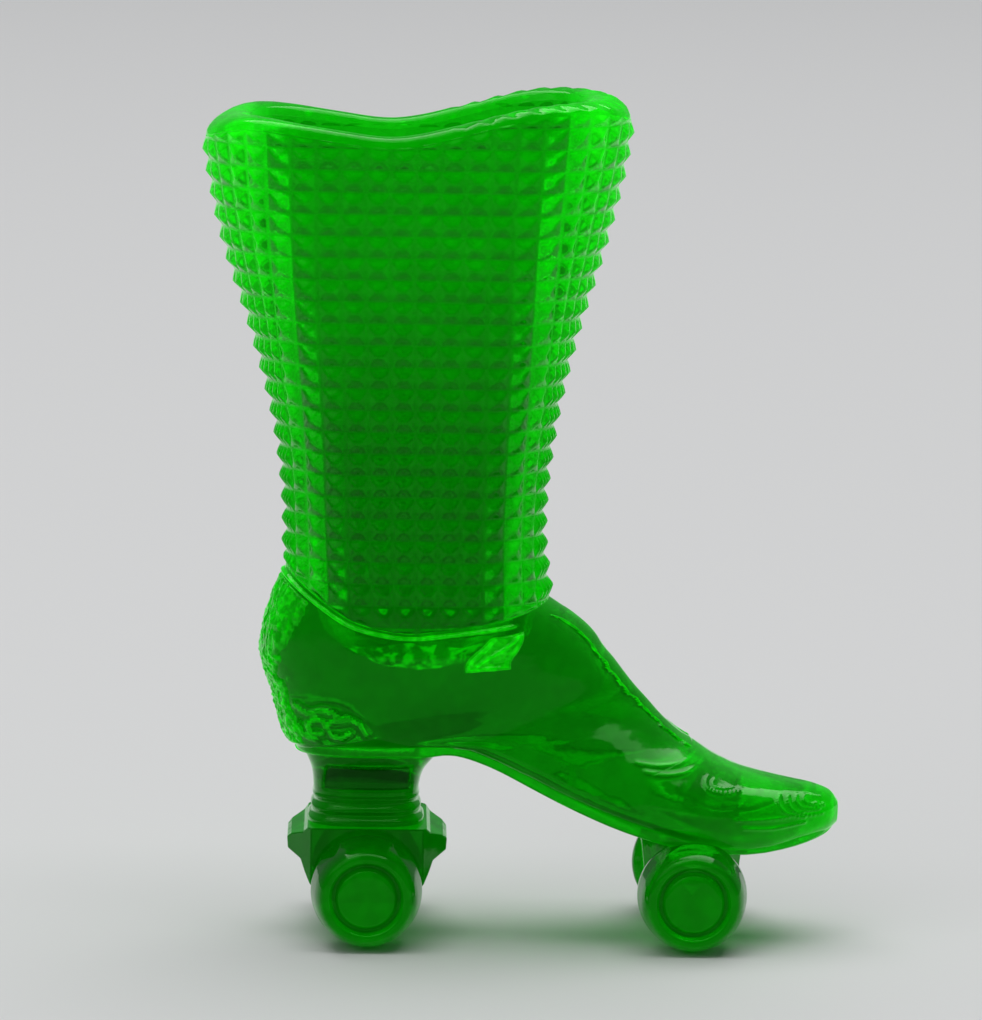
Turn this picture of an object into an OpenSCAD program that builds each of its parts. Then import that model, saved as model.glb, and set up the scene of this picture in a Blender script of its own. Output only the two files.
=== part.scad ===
// High boot on a roller skate, pressed in solid glass.
// Units are millimetres. +X points to the toe, +Z is up, and the origin is on the
// table under the middle of the part. Each node is one region of the pressing, and
// neighbouring regions meet face to face.

/* [Leg] */
// Height of the highest point of the rim
rim_top = 103.3; // [102:0.1:104]
// Depth of the dip in the middle of each side of the rim
rim_dip = 4.2; // [2:0.1:6]
// Height of the polished lip above the pattern
lip_h = 1.3; // [0.8:0.1:2]
// Height of one row of the diamond-point pattern
row_h = 2.67; // [2.6:0.01:3]
// How far each diamond point stands out
point_h = 0.8; // [0.3:0.05:1.2]
// Distance of the leg's axis behind the middle of the part
leg_back = 13.2; // [12.6:0.1:13.8]

/* [Shoe] */
// Height of the floor of the mouth's cavity
cavity_floor = 35; // [33:0.5:37]
// Thickness of the sole
sole_t = 1.8; // [1.5:0.1:2.2]
// How far the collar, the instep strip and the heel counter stand out
trim_rise = 0.45; // [0.2:0.05:0.7]

/* [Skate] */
// Diameter of the rear wheels
rear_wheel_d = 13.5; // [13:0.1:14]
// Diameter of the front wheels
front_wheel_d = 13.3; // [13:0.1:13.8]
// Position of the rear axle along the part
rear_axle_x = -18.4; // [-19:0.1:-17.8]
// Position of the front axle along the part
front_axle_x = 21.3; // [20.8:0.1:21.8]
// Width over the faces of the wheels
skate_w = 31; // [29:0.5:33]
// Width of the trucks between the wheels
truck_w = 16.4; // [15:0.1:17]
// Radius of the axle housings
axle_r = 3.2; // [2.5:0.1:4]

/* [Hidden] */
glass = [0.13, 0.85, 0.12];
glass_pale = [0.30, 0.95, 0.25];
glass_deep = [0.05, 0.62, 0.08];

// ---- Smooth curves through a few stations ----
function pick(list, i) = list[max(0, min(len(list) - 1, i))];
function blend(list, t) =
    let (i = floor(min(t, len(list) - 1.0001)), f = t - i,
         a = pick(list, i - 1), b = pick(list, i), c = pick(list, i + 1), d = pick(list, i + 2))
    b + f / 2 * ((c - a) + f * ((2 * a - 5 * b + 4 * c - d) + f * (3 * b - 3 * c + d - a)));
function smooth(list, steps) = [for (t = [0:1 / steps:len(list) - 1]) blend(list, t)];
function mix(a, b, f) = a * (1 - f) + b * f;

// ---- Leg: flat-sided oval sections every leg_step, [half length, half width, shift along X] ----
leg_z0 = 38;
leg_step = 12;
leg_out = [[16.6, 9.4, 0.5], [15.5, 9.2, 0.1], [16.6, 9.5, 0], [19.4, 10.2, -0.25],
           [23.1, 11.2, -0.45], [25.6, 12.1, -0.3], [26.4, 12.5, -0.2]];
leg_in = [[10.9, 5.6, 0.5], [11.5, 5.9, 0.1], [12.7, 6.4, 0], [15, 7.1, -0.25], [17.6, 8.0, -0.45],
          [20, 8.9, -0.3], [21.4, 9.6, -0.2]];
function leg_size(list, z) = blend(list, (z - leg_z0) / leg_step);

// Columns of points in one quarter of the oval; the first few keep an even pitch
cols = 11;
even_cols = 6;
ring_n = 4 * cols;
ankle_pitch = 2.74;
pitch_growth = 0.006;
function quarter_length(a, b) = a - b + b * PI / 2;
function col_s(m, z, q) =
    let (p = ankle_pitch + pitch_growth * (z - 50))
    m <= even_cols ? m * p : mix(even_cols * p, q, (m - even_cols) / (cols - even_cols));
// Point and outward direction at length s from the middle of the flat side
function oval(s, a, b) =
    let (arc = (s - (a - b)) / b * 180 / PI)
    s <= a - b ? [s, b, 0, 1] : [a - b + b * sin(arc), b * cos(arc), sin(arc), cos(arc)];
// Ring positions run from the middle of the -Y side, past the front, and round the back
function ring_m(k) = let (c = k % (2 * cols)) c <= cols ? c : 2 * cols - c;
function ring_sx(k) = k <= 2 * cols ? 1 : -1;
function ring_sy(k) = (k <= cols || k >= 3 * cols) ? -1 : 1;
function ring_point(k, size, size_at, z, out = 0) =
    let (q = quarter_length(size_at[0], size_at[1]),
         share = quarter_length(size[0], size[1]) / q,
         o = oval(col_s(ring_m(k), z, q) * share, size[0], size[1]))
    [ring_sx(k) * (o[0] + out * o[2]) + size[2] - leg_back, ring_sy(k) * (o[1] + out * o[3])];
function outer_xy(k, z, out = 0) =
    ring_point(k, leg_size(leg_out, z), leg_size(leg_out, z), z, out);
function inner_xy(k, z) = ring_point(k, leg_size(leg_in, z), leg_size(leg_out, z), z);

// Rim height along X, below its highest point
rim_line = [[-41, 5.6], [-38, 3.4], [-33, 2.2], [-24, 0.8 * rim_dip], [-17.5, rim_dip],
            [-13, 0.9 * rim_dip], [-8, 0.6 * rim_dip], [0, 0.5], [6.5, 0], [11, 0.5], [13, 2.2],
            [14.6, 4.6]];
rim_smooth = smooth(rim_line, 4);
function rim_z(x) = rim_top - lookup(x, rim_smooth);
function top_z(x) = rim_z(x) - lip_h;
// Line where the pattern ends and the shoe's collar begins
collar_line = smooth([[-31, 47.2], [-28.6, 45.2], [-24.5, 42.2], [-20, 39.6], [-14.2, 38.4],
                      [-9.3, 38.9], [-2, 40.0], [3.4, 41.6], [6, 42.6]], 4);
function collar_z(x) = lookup(x, collar_line);

rows = 25;
row_z0 = 36.4;
min_row = 0.12;
function row_z(j, x) =
    max(min(row_z0 + j * row_h, top_z(x) - (rows - j) * min_row), collar_z(x) + j * min_row);
function wall_point(j, k) =
    let (zn = row_z0 + j * row_h, z = row_z(j, outer_xy(k, zn)[0]), p = outer_xy(k, z))
    [p[0], p[1], row_z(j, p[0])];
function point_tip(j, k) =
    let (a = wall_point(j, k), b = wall_point(j, (k + 1) % ring_n),
         c = wall_point(j + 1, (k + 1) % ring_n), d = wall_point(j + 1, k),
         m = (a + b + c + d) / 4, u = b - a, n = [u[1], -u[0], 0] / norm([u[0], u[1]]),
         full = min(1, (c[2] + d[2] - a[2] - b[2]) / 2 / row_h + 0.1))
    m + n * point_h * full;
inner_rows = 6;
function bore_point(i, k) =
    let (x0 = inner_xy(k, 70)[0], z = mix(collar_z(x0), top_z(x0), i / inner_rows),
         p = inner_xy(k, z))
    [p[0], p[1], mix(collar_z(p[0]), top_z(p[0]), i / inner_rows)];

// ---- Faces between rings; each ring has ring_n points, lower ring first ----
function next_k(k) = (k + 1) % ring_n;
function skin(lower, upper) =
    [for (k = [0:ring_n - 1]) each [[lower + k, upper + k, upper + next_k(k)],
                                    [lower + k, upper + next_k(k), lower + next_k(k)]]];
function skin_in(lower, upper) = [for (f = skin(lower, upper)) [f[2], f[1], f[0]]];
function strip_up(outer, inner) =
    [for (k = [0:ring_n - 1]) each [[outer + k, inner + k, inner + next_k(k)],
                                    [outer + k, inner + next_k(k), outer + next_k(k)]]];
function strip_down(outer, inner) = [for (f = strip_up(outer, inner)) [f[2], f[1], f[0]]];
function cap_down(start) = [[for (k = [0:ring_n - 1]) start + k]];
function cap_up(start) = [[for (k = [ring_n - 1:-1:0]) start + k]];

module leg() {
    tip0 = (rows + 1) * ring_n;
    bore0 = tip0 + rows * ring_n;
    points = concat([for (j = [0:rows], k = [0:ring_n - 1]) wall_point(j, k)],
                    [for (j = [0:rows - 1], k = [0:ring_n - 1]) point_tip(j, k)],
                    [for (i = [0:inner_rows], k = [0:ring_n - 1]) bore_point(i, k)]);
    pattern = [for (j = [0:rows - 1], k = [0:ring_n - 1])
        let (a = j * ring_n + k, b = j * ring_n + next_k(k), c = b + ring_n, d = a + ring_n,
             e = tip0 + j * ring_n + k)
        each [[b, a, e], [c, b, e], [d, c, e], [a, d, e]]];
    bore = [for (i = [0:inner_rows - 1])
        each skin_in(bore0 + i * ring_n, bore0 + (i + 1) * ring_n)];
    color(glass)
    polyhedron(points, concat(pattern, bore, strip_down(0, bore0),
        strip_up(rows * ring_n, bore0 + inner_rows * ring_n)), convexity = 8);
}

// Polished lip: an arch from the outer edge of the wall over to the inner edge
lip_angles = [0, 20, 45, 75, 105, 135, 160, 180];
function lip_point(t, k) =
    let (o = wall_point(rows, k), i = bore_point(inner_rows, k),
         m = (o + i) / 2, p = m + (o - m) * cos(t), rise = pow(sin(t), 0.7))
    [p[0], p[1], t == 0 ? o[2] : t == 180 ? i[2] : top_z(p[0]) + lip_h * rise];
module rim_lip() {
    last = len(lip_angles) - 1;
    points = [for (t = lip_angles, k = [0:ring_n - 1]) lip_point(t, k)];
    arch = [for (i = [0:last - 1]) each skin(i * ring_n, (i + 1) * ring_n)];
    color(glass_pale)
    polyhedron(points, concat(arch, strip_down(0, last * ring_n)), convexity = 6);
}

// ---- Shoe: sections fan from the ankle round to the toe ----
// Underside of the sole along X
under_line = smooth([[-31, 22.7], [-20, 22.7], [-12, 22.7], [-8, 23.0], [-3.5, 21.6], [1.5, 19.2],
                     [7, 16.7], [13, 14.4], [20, 12.4], [28, 11.2], [34, 11.8], [38, 13.0],
                     [41, 14.6]], 3);
function under_z(x) = lookup(x, under_line);
function seat_z(x) = under_z(x) + sole_t;

// Each station: [low end x, low end z, high end x, high end z, half width,
//                place of the widest point, squareness low, squareness high]
// A low end of z = 0 lies on the sole.
shoe_stations = [
    [-31.6, 34.8, 9.6, 36.5, 10.5, 0.48, 2.4, 2.1],
    [-30.1, 29.6, 11.7, 33.8, 10.2, 0.45, 2.6, 2.1],
    [-27.3, 0, 13.7, 31.2, 9.4, 0.42, 4.0, 2.1],
    [-19, 0, 15.6, 29.1, 8.9, 0.40, 4.5, 2.1],
    [-9, 0, 17.7, 26.8, 9.2, 0.40, 5.0, 2.1],
    [-1, 0, 19.9, 24.9, 10.2, 0.38, 5.0, 2.1],
    [6, 0, 22.0, 23.6, 11.3, 0.36, 5.0, 2.1],
    [13, 0, 24.4, 22.0, 11.9, 0.34, 5.0, 2.1],
    [19.5, 0, 27.4, 20.6, 11.3, 0.34, 5.0, 2.2],
    [25.5, 0, 30.4, 19.8, 9.6, 0.36, 4.5, 2.3],
    [30.5, 0, 33.4, 19.2, 7.5, 0.40, 4.0, 2.4],
    [34.6, 0, 36.2, 18.7, 5.4, 0.45, 3.0, 2.4],
    [37.9, 0, 38.4, 17.9, 3.6, 0.5, 2.4, 2.3],
    [39.5, 14.6, 39.5, 16.8, 1.8, 0.5, 2, 2]];
function station(s) =
    let (c = blend([for (r = shoe_stations) [r[0], r[1] == 0 ? seat_z(r[0]) : r[1], r[2], r[3],
                                             r[4], r[5], r[6], r[7]]], s))
    [c[0], max(c[1], seat_z(c[0])), c[2], c[3], c[4], c[5], c[6], c[7]];
function bulge(v, c, low, high) =
    let (u = v < c ? (c - v) / c : (v - c) / (1 - c), n = v < c ? low : high)
    pow(max(0, 1 - pow(u, n)), 1 / n);
// How far along a section each ring position lies, from 0 at the low end to 1 at the high end
place_z = 50;
function ring_v(k) =
    let (size = leg_size(leg_out, place_z))
    (outer_xy(k, place_z)[0] + leg_back - size[2]) / (2 * size[0]) + 0.5;
function rib_point(s, k, out = 0) =
    let (c = station(s), low = [c[0], c[1]], high = [c[2], c[3]],
         dir = (high - low) / norm(high - low), v = ring_v(k),
         p = mix(low - dir * out, high + dir * out, v),
         h = bulge(v, c[5], c[6], c[7]) * (c[4] + out))
    [p[0], ring_sy(k) * h, p[1]];
function collar_point(k, out = 0) =
    let (w = wall_point(0, k), p = outer_xy(k, w[2], out)) [p[0], p[1], collar_z(p[0])];
// Position 0 is the collar line, 0.5 the collar's lower edge and 1 the first station
collar_h = 1.5;
function shoe_point(s, k, out = 0) =
    let (a = collar_point(k, out), b = rib_point(max(0, s - 1), k, out),
         edge = a[2] - min(collar_h, (a[2] - b[2]) / 2),
         z = s < 0.5 ? mix(a[2], edge, 2 * s) : mix(edge, b[2], 2 * s - 1),
         f = sin(90 * (a[2] - z) / (a[2] - b[2])))
    s >= 1 ? b : [mix(a[0], b[0], f), mix(a[1], b[1], f), z];

quarter_s = [0, 0.5, 0.75, 1, 1.5, 2, 2.5, 3, 3.5, 4];
vamp_s = [4, 4.5, 5, 5.5, 6, 6.5, 7];
toe_s = [7, 7.5, 8, 8.5, 9, 9.5, 10, 10.5, 11, 11.5, 12, 12.5, 13, 13.5, 14];

// Closed solid through a list of shoe sections, later sections lower and further forward
module shoe_solid(positions) {
    last = len(positions) - 1;
    points = [for (s = positions, k = [0:ring_n - 1]) shoe_point(s, k)];
    sides = [for (r = [0:last - 1]) each skin((r + 1) * ring_n, r * ring_n)];
    polyhedron(points, concat(sides, cap_up(0), cap_down(last * ring_n)), convexity = 6);
}

// Lower end of the cavity: [height above its floor, share of the full section]
well = [[0, 0.55], [0.8, 0.8], [2.4, 0.96]];
floor_dish = 0.3;
function well_point(w, k) =
    let (p = inner_xy(k, leg_z0), x = (p[0] + leg_back) * w[1] - leg_back)
    [x, p[1] * w[1], cavity_floor + w[0]];
module quarter() {
    last = len(quarter_s) - 1;
    mouth = (last + 1) * ring_n;
    points = concat([for (s = quarter_s, k = [0:ring_n - 1]) shoe_point(s, k)],
                    [for (k = [0:ring_n - 1]) bore_point(0, k)],
                    [for (w = [2:-1:0], k = [0:ring_n - 1]) well_point(well[w], k)],
                    [[-leg_back, 0, cavity_floor - floor_dish]]);
    sides = [for (r = [0:last - 1]) each skin((r + 1) * ring_n, r * ring_n)];
    inside = [for (i = [0:2]) each skin_in(mouth + (i + 1) * ring_n, mouth + i * ring_n)];
    well_end = mouth + 3 * ring_n;
    well_floor = [for (k = [0:ring_n - 1]) [well_end + next_k(k), well_end + k,
                                            well_end + ring_n]];
    color(glass)
    polyhedron(points, concat(sides, inside, strip_up(0, mouth), cap_down(last * ring_n),
        well_floor), convexity = 8);
}
module vamp() { color(glass) shoe_solid(vamp_s); }
module toe_cap() { color(glass_pale) shoe_solid(toe_s); }

// Raised trim that follows the shoe between ring positions k0 and k1; each row of it may be
// shifted round the shoe by a whole number of ring positions
module overlay(positions, k0, k1, rise, shifts = []) {
    n = k1 - k0 + 1;
    last = len(positions) - 1;
    half = (last + 1) * n;
    function id(r, i, side) = side * half + r * n + i;
    function place(r, i) = (k0 + i + (len(shifts) > r ? shifts[r] : 0)) % ring_n;
    points = concat([for (r = [0:last], i = [0:n - 1]) shoe_point(positions[r], place(r, i))],
                    [for (r = [0:last], i = [0:n - 1])
                        shoe_point(positions[r], place(r, i), rise)]);
    function quad(a, b, c, d) = [[a, d, c], [a, c, b]];
    outside = [for (r = [0:last - 1], i = [0:n - 2])
        each quad(id(r + 1, i, 1), id(r + 1, i + 1, 1), id(r, i + 1, 1), id(r, i, 1))];
    inside = [for (r = [0:last - 1], i = [0:n - 2])
        let (a = id(r + 1, i, 0), b = id(r + 1, i + 1, 0), c = id(r, i + 1, 0), d = id(r, i, 0))
        each [[c, d, a], [b, c, a]]];
    ends = concat([for (i = [0:n - 2]) each quad(id(0, i, 1), id(0, i + 1, 1), id(0, i + 1, 0),
                                                 id(0, i, 0))],
                  [for (i = [0:n - 2]) each quad(id(last, i, 0), id(last, i + 1, 0),
                                                 id(last, i + 1, 1), id(last, i, 1))],
                  [for (r = [0:last - 1]) each quad(id(r + 1, 0, 0), id(r + 1, 0, 1),
                                                    id(r, 0, 1), id(r, 0, 0))],
                  [for (r = [0:last - 1]) each quad(id(r + 1, n - 1, 1), id(r + 1, n - 1, 0),
                                                    id(r, n - 1, 0), id(r, n - 1, 1))]);
    polyhedron(points, concat(outside, inside, ends), convexity = 6);
}
// The collar runs from one tab, round the heel, to the other tab
tab_front = 5;
tab_back = 3;
module collar() {
    color(glass_pale) overlay([0, 0.5], 2 * cols - tab_front, ring_n + tab_front, trim_rise);
}
// The tabs lean back as they run down
tab_s = [0.5, 0.75, 1, 1.5];
tab_lean = [0, 1, 2, 2];
module right_tab() {
    color(glass_pale) overlay(tab_s, tab_back, tab_front, trim_rise, -tab_lean);
}
module left_tab() {
    color(glass_pale)
    overlay(tab_s, 2 * cols - tab_front, 2 * cols - tab_back, trim_rise, tab_lean);
}
strip_half = 5;
module instep_strip() {
    color(glass_pale)
    overlay(concat(quarter_s, [for (s = vamp_s) if (s > 4) s]),
            cols - strip_half, cols + strip_half, trim_rise);
}
counter_half = 7;
module heel_counter() {
    color(glass_pale)
    overlay([for (s = quarter_s) if (s >= 0.5 && s <= 3) s], 3 * cols - counter_half,
            3 * cols + counter_half, trim_rise);
}

// ---- Sole ----
// Half outline of the sole in plan: [x, half width]
sole_plan = smooth([[-27.4, 0], [-27.0, 3.4], [-25.4, 6.4], [-21.5, 8.0], [-15, 8.1], [-8, 7.5],
                    [-1, 7.8], [6, 9.6], [13, 11.0], [19, 10.9], [25, 9.2], [30, 7.0],
                    [34.5, 5.0], [37.6, 2.8], [38.8, 0]], 3);
module sole() {
    color(glass_deep)
    intersection() {
        rotate([90, 0, 0])
            linear_extrude(30, center = true)
                polygon(concat(under_line, [for (i = [len(under_line) - 1:-1:0])
                    under_line[i] + [0, sole_t]]));
        linear_extrude(40)
            polygon(concat(sole_plan, [for (i = [len(sole_plan) - 1:-1:0])
                [sole_plan[i][0], -sole_plan[i][1]]]));
    }
}

// ---- Heel block: square-sided, waisted sections up to the sole ----
// [z, middle x, half length, half width]
heel_top = [for (p = under_line) if (p[0] == -20) p[1]][0];
heel_sections = smooth([[14.0, -18.6, 7.1, 7.0], [16.2, -18.6, 6.5, 6.5], [18.4, -18.6, 6.5, 6.5],
                        [20.6, -18.4, 7.0, 6.9], [heel_top, -17.9, 8.5, 7.7]], 3);
heel_n = 40;
heel_square = 4;
function square_round(a) =
    let (c = cos(a), s = sin(a))
    [sign(c) * pow(abs(c), 2 / heel_square), sign(s) * pow(abs(s), 2 / heel_square)];
module heel_block() {
    last = len(heel_sections) - 1;
    points = [for (h = heel_sections, i = [0:heel_n - 1])
        let (p = square_round(i * 360 / heel_n)) [h[1] + h[2] * p[0], h[3] * p[1], h[0]]];
    sides = [for (r = [0:last - 1], i = [0:heel_n - 1])
        let (a = r * heel_n + i, b = r * heel_n + (i + 1) % heel_n, c = b + heel_n,
             d = a + heel_n)
        each [[a, d, c], [a, c, b]]];
    bottom = [[for (i = [0:heel_n - 1]) i]];
    top = [[for (i = [heel_n - 1:-1:0]) last * heel_n + i]];
    color(glass_deep) polyhedron(points, concat(sides, bottom, top), convexity = 4);
}

// ---- Trucks ----
truck_low = 7.1;
// Half of the rear truck from the side, from its top edge down: [distance from axle, z]
rear_truck_side = [[7.2, 14.0], [7.8, 13.3], [9.2, 12.7], [9.8, 12.1], [9.7, 10.7], [8.1, 9.8],
                   [7.6, 8.4], [7.0, truck_low]];
ear_half = 9.8;
corner_cut = 4.2;
module truck_plan(half_x) {
    half_y = truck_w / 2;
    c = corner_cut;
    polygon([[-half_x, -half_y + c], [-half_x + c * 0.7, -half_y], [half_x - c * 0.7, -half_y],
             [half_x, -half_y + c], [half_x, half_y - c], [half_x - c * 0.7, half_y],
             [-half_x + c * 0.7, half_y], [-half_x, half_y - c]]);
}
module axle(x, d, extra = 0) {
    translate([x, 0, d / 2])
        rotate([90, 0, 0])
            cylinder(h = truck_w + extra, r = axle_r, center = true, $fn = 48);
}
module rear_truck() {
    n = len(rear_truck_side);
    color(glass_deep)
    difference() {
        intersection() {
            translate([rear_axle_x, 0, 0])
                rotate([90, 0, 0])
                    linear_extrude(truck_w, center = true)
                        polygon(concat(rear_truck_side, [for (i = [n - 1:-1:0])
                            [-rear_truck_side[i][0], rear_truck_side[i][1]]]));
            translate([rear_axle_x, 0, 0]) linear_extrude(20) truck_plan(ear_half);
        }
        axle(rear_axle_x, rear_wheel_d, 2);
    }
}
front_half = 6.3;
front_toe_cut = 1.2;
module front_truck() {
    x0 = front_axle_x - front_half;
    x1 = front_axle_x + front_half;
    color(glass_deep)
    difference() {
        intersection() {
            rotate([90, 0, 0])
                linear_extrude(truck_w, center = true)
                    polygon(concat([[x0 + front_toe_cut, truck_low], [x0, truck_low + 2],
                                    [x0, under_z(x0)]],
                                   [for (p = under_line) if (p[0] > x0 && p[0] < x1) p],
                                   [[x1, under_z(x1)], [x1, truck_low + 2],
                                    [x1 - front_toe_cut, truck_low]]));
            translate([front_axle_x, 0, 0]) linear_extrude(20) truck_plan(front_half);
        }
        axle(front_axle_x, front_wheel_d, 2);
    }
}
module rear_axle_housing() { color(glass_deep) axle(rear_axle_x, rear_wheel_d); }
module front_axle_housing() { color(glass_deep) axle(front_axle_x, front_wheel_d); }

// ---- Wheels ----
rest_flat = 0.05;
face_r = 5.5;
groove_out = 4.5;
groove_in = 3.5;
groove_d = 0.8;
// One wheel, its inner side on the truck and its face outwards at +Y when side is 1
module wheel(x, d, side) {
    r = d / 2 + rest_flat;
    w = (skate_w - truck_w) / 2;
    translate([x, side * truck_w / 2, r - rest_flat])
        difference() {
            rotate([-90 * side, 0, 0])
                rotate_extrude($fn = 72)
                    polygon([[0, 0], [r - 0.9, 0], [r - 0.3, 0.3], [r, 1], [r, 2],
                             [r - 0.25, 3.3], [face_r + 0.45, w - 1.1], [face_r, w - 0.35],
                             [face_r - 0.35, w], [groove_out, w], [groove_out - 0.2, w - groove_d],
                             [groove_in + 0.2, w - groove_d], [groove_in, w - 0.1], [0, w - 0.1]]);
            translate([-r, side * w / 2 - w, -r - 1 + rest_flat])
                cube([2 * r, 2 * w, 1]);
        }
}
module rear_left_wheel() { color(glass_deep) wheel(rear_axle_x, rear_wheel_d, 1); }
module rear_right_wheel() { color(glass_deep) wheel(rear_axle_x, rear_wheel_d, -1); }
module front_left_wheel() { color(glass_deep) wheel(front_axle_x, front_wheel_d, 1); }
module front_right_wheel() { color(glass_deep) wheel(front_axle_x, front_wheel_d, -1); }

rim_lip();
leg();
collar();
left_tab();
right_tab();
quarter();
vamp();
toe_cap();
instep_strip();
heel_counter();
sole();
heel_block();
rear_truck();
front_truck();
rear_axle_housing();
front_axle_housing();
rear_left_wheel();
rear_right_wheel();
front_left_wheel();
front_right_wheel();
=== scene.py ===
# %% [markdown]
# # A pressed-glass boot on a roller skate
# The real object is a small novelty in uranium glass, about as tall as a hand is wide. It was
# pressed in one mould, and under a violet lamp all of it glows green. This lesson rebuilds it
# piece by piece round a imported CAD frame. The frame's axes are +X to the toe, +Y to the boot's
# left side and +Z up, in metres.

import math

import bmesh
import bpy
import numpy as np
from mathutils import Matrix, Vector, noise
from mathutils.bvhtree import BVHTree


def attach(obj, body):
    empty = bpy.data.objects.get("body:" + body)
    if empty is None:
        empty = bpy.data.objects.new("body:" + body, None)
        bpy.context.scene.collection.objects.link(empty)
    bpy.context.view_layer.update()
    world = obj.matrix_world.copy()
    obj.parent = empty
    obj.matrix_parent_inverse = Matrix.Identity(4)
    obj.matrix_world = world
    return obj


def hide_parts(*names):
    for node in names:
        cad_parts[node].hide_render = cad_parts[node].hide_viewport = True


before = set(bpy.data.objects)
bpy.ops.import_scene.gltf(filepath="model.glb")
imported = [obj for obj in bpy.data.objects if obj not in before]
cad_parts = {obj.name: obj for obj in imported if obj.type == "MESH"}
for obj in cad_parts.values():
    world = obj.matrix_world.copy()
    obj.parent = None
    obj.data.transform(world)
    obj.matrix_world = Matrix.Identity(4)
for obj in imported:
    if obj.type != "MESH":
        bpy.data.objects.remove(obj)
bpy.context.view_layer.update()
scene = bpy.context.scene
MM = 0.001

# %% [markdown]
# ## Camera
# The boot is seen square from its right side, from a little above the rim and from far off, so
# a long lens keeps the toe and the heel at the same scale. The camera is built from three
# directions: where it looks, what is right and what is up. A small roll goes into the last two.

# %% Camera
look_at = Vector((-3.8, 0, 52.25)) * MM
camera_yaw = math.radians(-1.0)
camera_distance = 0.9
camera_height = 0.20145
camera_roll = math.radians(0.93)
camera_place = Vector((look_at.x + camera_distance * math.sin(camera_yaw),
                       -camera_distance * math.cos(camera_yaw), camera_height))
ahead = (look_at - camera_place).normalized()
level_right = ahead.cross(Vector((0, 0, 1))).normalized()
level_up = level_right.cross(ahead)
right = level_right * math.cos(camera_roll) + level_up * math.sin(camera_roll)
up = level_up * math.cos(camera_roll) - level_right * math.sin(camera_roll)

camera = bpy.data.objects.new("camera", bpy.data.cameras.new("camera"))
scene.collection.objects.link(camera)
turn = Matrix((right, up, -ahead)).transposed().to_4x4()
camera.matrix_world = Matrix.Translation(camera_place) @ turn
camera.data.sensor_width = 36
picture_height = 0.1246  # metres in view at the boot
camera.data.lens = 36 * (look_at - camera_place).length / picture_height
scene.camera = camera
print("lens:", round(camera.data.lens, 1), "mm")

# %% [markdown]
# ## Floor and light
# The floor is a wide plain sheet with a faint mottle, so that it isn't one flat colour. The
# light is a wide soft box overhead, a small one over the camera's left shoulder and a dim sky.
# The floor is pale and the sky is dim on purpose: glass has to see something bright and
# something darker, or its facets vanish.

# %% Floor
floor_mesh = bmesh.new()
bmesh.ops.create_grid(floor_mesh, x_segments=2, y_segments=2, size=4)
floor = bpy.data.objects.new("floor", bpy.data.meshes.new("floor"))
floor_mesh.to_mesh(floor.data)
floor_mesh.free()
scene.collection.objects.link(floor)

floor_paint = bpy.data.materials.new("floor_paint")
floor_paint.use_nodes = True
paint = floor_paint.node_tree.nodes["Principled BSDF"]
paint.inputs["Roughness"].default_value = 0.6
mottle = floor_paint.node_tree.nodes.new("ShaderNodeTexNoise")
mottle.inputs["Scale"].default_value = 3
pale = floor_paint.node_tree.nodes.new("ShaderNodeMapRange")
pale.inputs["To Min"].default_value = 0.60
pale.inputs["To Max"].default_value = 0.66
floor_paint.node_tree.links.new(mottle.outputs["Fac"], pale.inputs["Value"])
floor_paint.node_tree.links.new(pale.outputs["Result"], paint.inputs["Base Color"])
floor.data.materials.append(floor_paint)

# %% Lights
def soft_box(name, place, size, power):
    """A square area light in metres that faces the boot."""
    light = bpy.data.lights.new(name, "AREA")
    light.size = size
    light.energy = power
    box = bpy.data.objects.new(name, light)
    box.location = place
    box.rotation_euler = (look_at - Vector(place)).to_track_quat("-Z", "Y").to_euler()
    scene.collection.objects.link(box)


soft_box("overhead_light", (0, 0.4, 2.2), 2.6, 62.0)
soft_box("key_light", (-0.7, -0.6, 0.9), 1.1, 3.0)
sky = bpy.data.worlds.new("sky")
sky.use_nodes = True
sky.node_tree.nodes["Background"].inputs["Color"].default_value = (0.5, 0.53, 0.56, 1)
sky.node_tree.nodes["Background"].inputs["Strength"].default_value = 0.25
scene.world = sky
scene.view_settings.view_transform = "Standard"
scene.cycles.transparent_max_bounces = 32
scene.cycles.transmission_bounces = 16
scene.cycles.max_bounces = 16

# %% [markdown]
# ## Glass that glows
# Uranium glass takes in violet light and gives out green. No violet lamp lights this scene, so
# the green glow is painted light, given off by the glass as emission. A light inside every part
# of the glass would be slow to render, so each surface gives off a little of it. A ray that
# bounces about inside a thick part meets many surfaces and gathers more glow, as in the real
# glass. One node group paints how strong the glow is at each place from the Object coordinates
# and the facing: strong at the lip and the toe, where the light runs to the edges, weak low
# down, changed where a surface turns from the flat sides, and weaker on facets that face down,
# which is painted shade. It also puts out the fine unevenness of old pressed glass, for the
# bump and the roughness.

# %% Node helpers
def add_node(tree, kind, **values):
    """A node of that kind, with its properties or input values set by name."""
    node = tree.nodes.new(kind)
    for key, value in values.items():
        if hasattr(node, key):
            setattr(node, key, value)
        else:
            node.inputs[key.replace("_", " ")].default_value = value
    return node


def math_node(tree, operation, a, b=None):
    """One sum in the tree; a and b are numbers or sockets."""
    node = tree.nodes.new("ShaderNodeMath")
    node.operation = operation
    for index, value in enumerate([a] if b is None else [a, b]):
        if isinstance(value, (int, float)):
            node.inputs[index].default_value = value
        else:
            tree.links.new(value, node.inputs[index])
    return node.outputs[0]


def smooth_step(tree, value, low, high, to_min=0.0, to_max=1.0):
    """value mapped smoothly from low..high to to_min..to_max."""
    node = tree.nodes.new("ShaderNodeMapRange")
    node.interpolation_type = "SMOOTHSTEP"
    for name, number in (("From Min", low), ("From Max", high), ("To Min", to_min),
                         ("To Max", to_max)):
        node.inputs[name].default_value = number
    tree.links.new(value, node.inputs["Value"])
    return node.outputs["Result"]


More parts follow.
